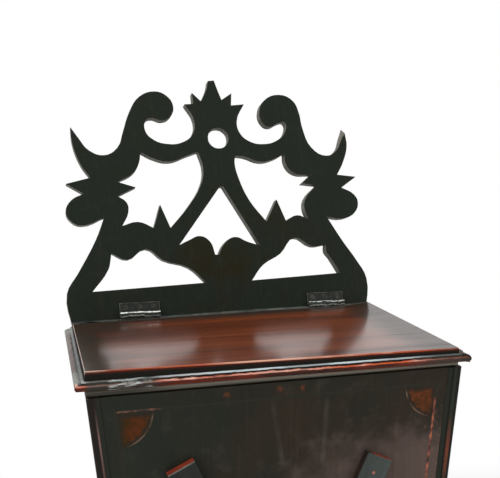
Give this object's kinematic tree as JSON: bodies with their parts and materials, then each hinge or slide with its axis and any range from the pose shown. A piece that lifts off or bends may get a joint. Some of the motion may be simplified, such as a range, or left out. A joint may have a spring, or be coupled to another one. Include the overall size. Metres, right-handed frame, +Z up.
{
  "type": "cutlery box",
  "caption": "Wall-hanging cutlery box of dark mahogany: hand-pierced scrolled back board, sloping hinged lid with moulded edge, tapering case, inlaid front with applied knife and fork.",
  "frame": {"origin": "on the floor under the middle of the box's overall outline", "axes": "+Z up, front and lid's low edge towards -Y, back board's flat back towards +Y"},
  "size_m": [0.2966, 0.1835, 0.6005],
  "materials": {
    "dark_mahogany": "old dark polish, worn at the edges",
    "red_mahogany": "waxed, glossy",
    "boxwood": "polished over, dirty",
    "shaded_satinwood": "sand-shaded, polished",
    "iron": "dull, dark",
    "steel": "rubbed bright",
    "brass": "dull"
  },
  "bodies": {
    "case": {"back_board": "dark_mahogany", "bottom_board": "dark_mahogany", "fan_bottom_left": "shaded_satinwood", "fan_bottom_right": "shaded_satinwood", "fan_top_left": "shaded_satinwood", "fan_top_right": "shaded_satinwood", "fork": "red_mahogany", "fork_brad_1": "brass", "fork_brad_2": "brass", "front_panel": "dark_mahogany", "knife": "red_mahogany", "knife_brad_1": "brass", "knife_brad_2": "brass", "left_back_nail_1": "iron", "left_back_nail_2": "iron", "left_back_nail_3": "iron", "left_bottom_nail_1": "iron", "left_bottom_nail_2": "iron", "left_hinge_back_leaf": "iron", "left_hinge_back_screw_1": "iron", "left_hinge_back_screw_2": "iron", "left_hinge_back_screw_3": "iron", "left_hinge_pin": "steel", "left_side": "dark_mahogany", "right_back_nail_1": "iron", "right_back_nail_2": "iron", "right_back_nail_3": "iron", "right_bottom_nail_1": "iron", "right_bottom_nail_2": "iron", "right_hinge_back_leaf": "iron", "right_hinge_back_screw_1": "iron", "right_hinge_back_screw_2": "iron", "right_hinge_back_screw_3": "iron", "right_hinge_pin": "steel", "right_side": "dark_mahogany", "stringing_bottom": "boxwood", "stringing_left": "boxwood", "stringing_right": "boxwood", "stringing_top": "boxwood"},
    "lid": {"left_hinge_lid_leaf": "iron", "left_hinge_lid_screw_1": "iron", "left_hinge_lid_screw_2": "iron", "left_hinge_lid_screw_3": "iron", "lid_board": "red_mahogany", "lid_moulding_front": "dark_mahogany", "lid_moulding_left": "dark_mahogany", "lid_moulding_right": "dark_mahogany", "right_hinge_lid_leaf": "iron", "right_hinge_lid_screw_1": "iron", "right_hinge_lid_screw_2": "iron", "right_hinge_lid_screw_3": "iron"}
  },
  "joints": [
    {"name": "lid_hinge", "type": "hinge", "parent": "case", "child": "lid", "pos_m": [0, 0.07891, 0.3777], "axis": [-1, 0, 0], "range_deg": [0, 105]}
  ]
}
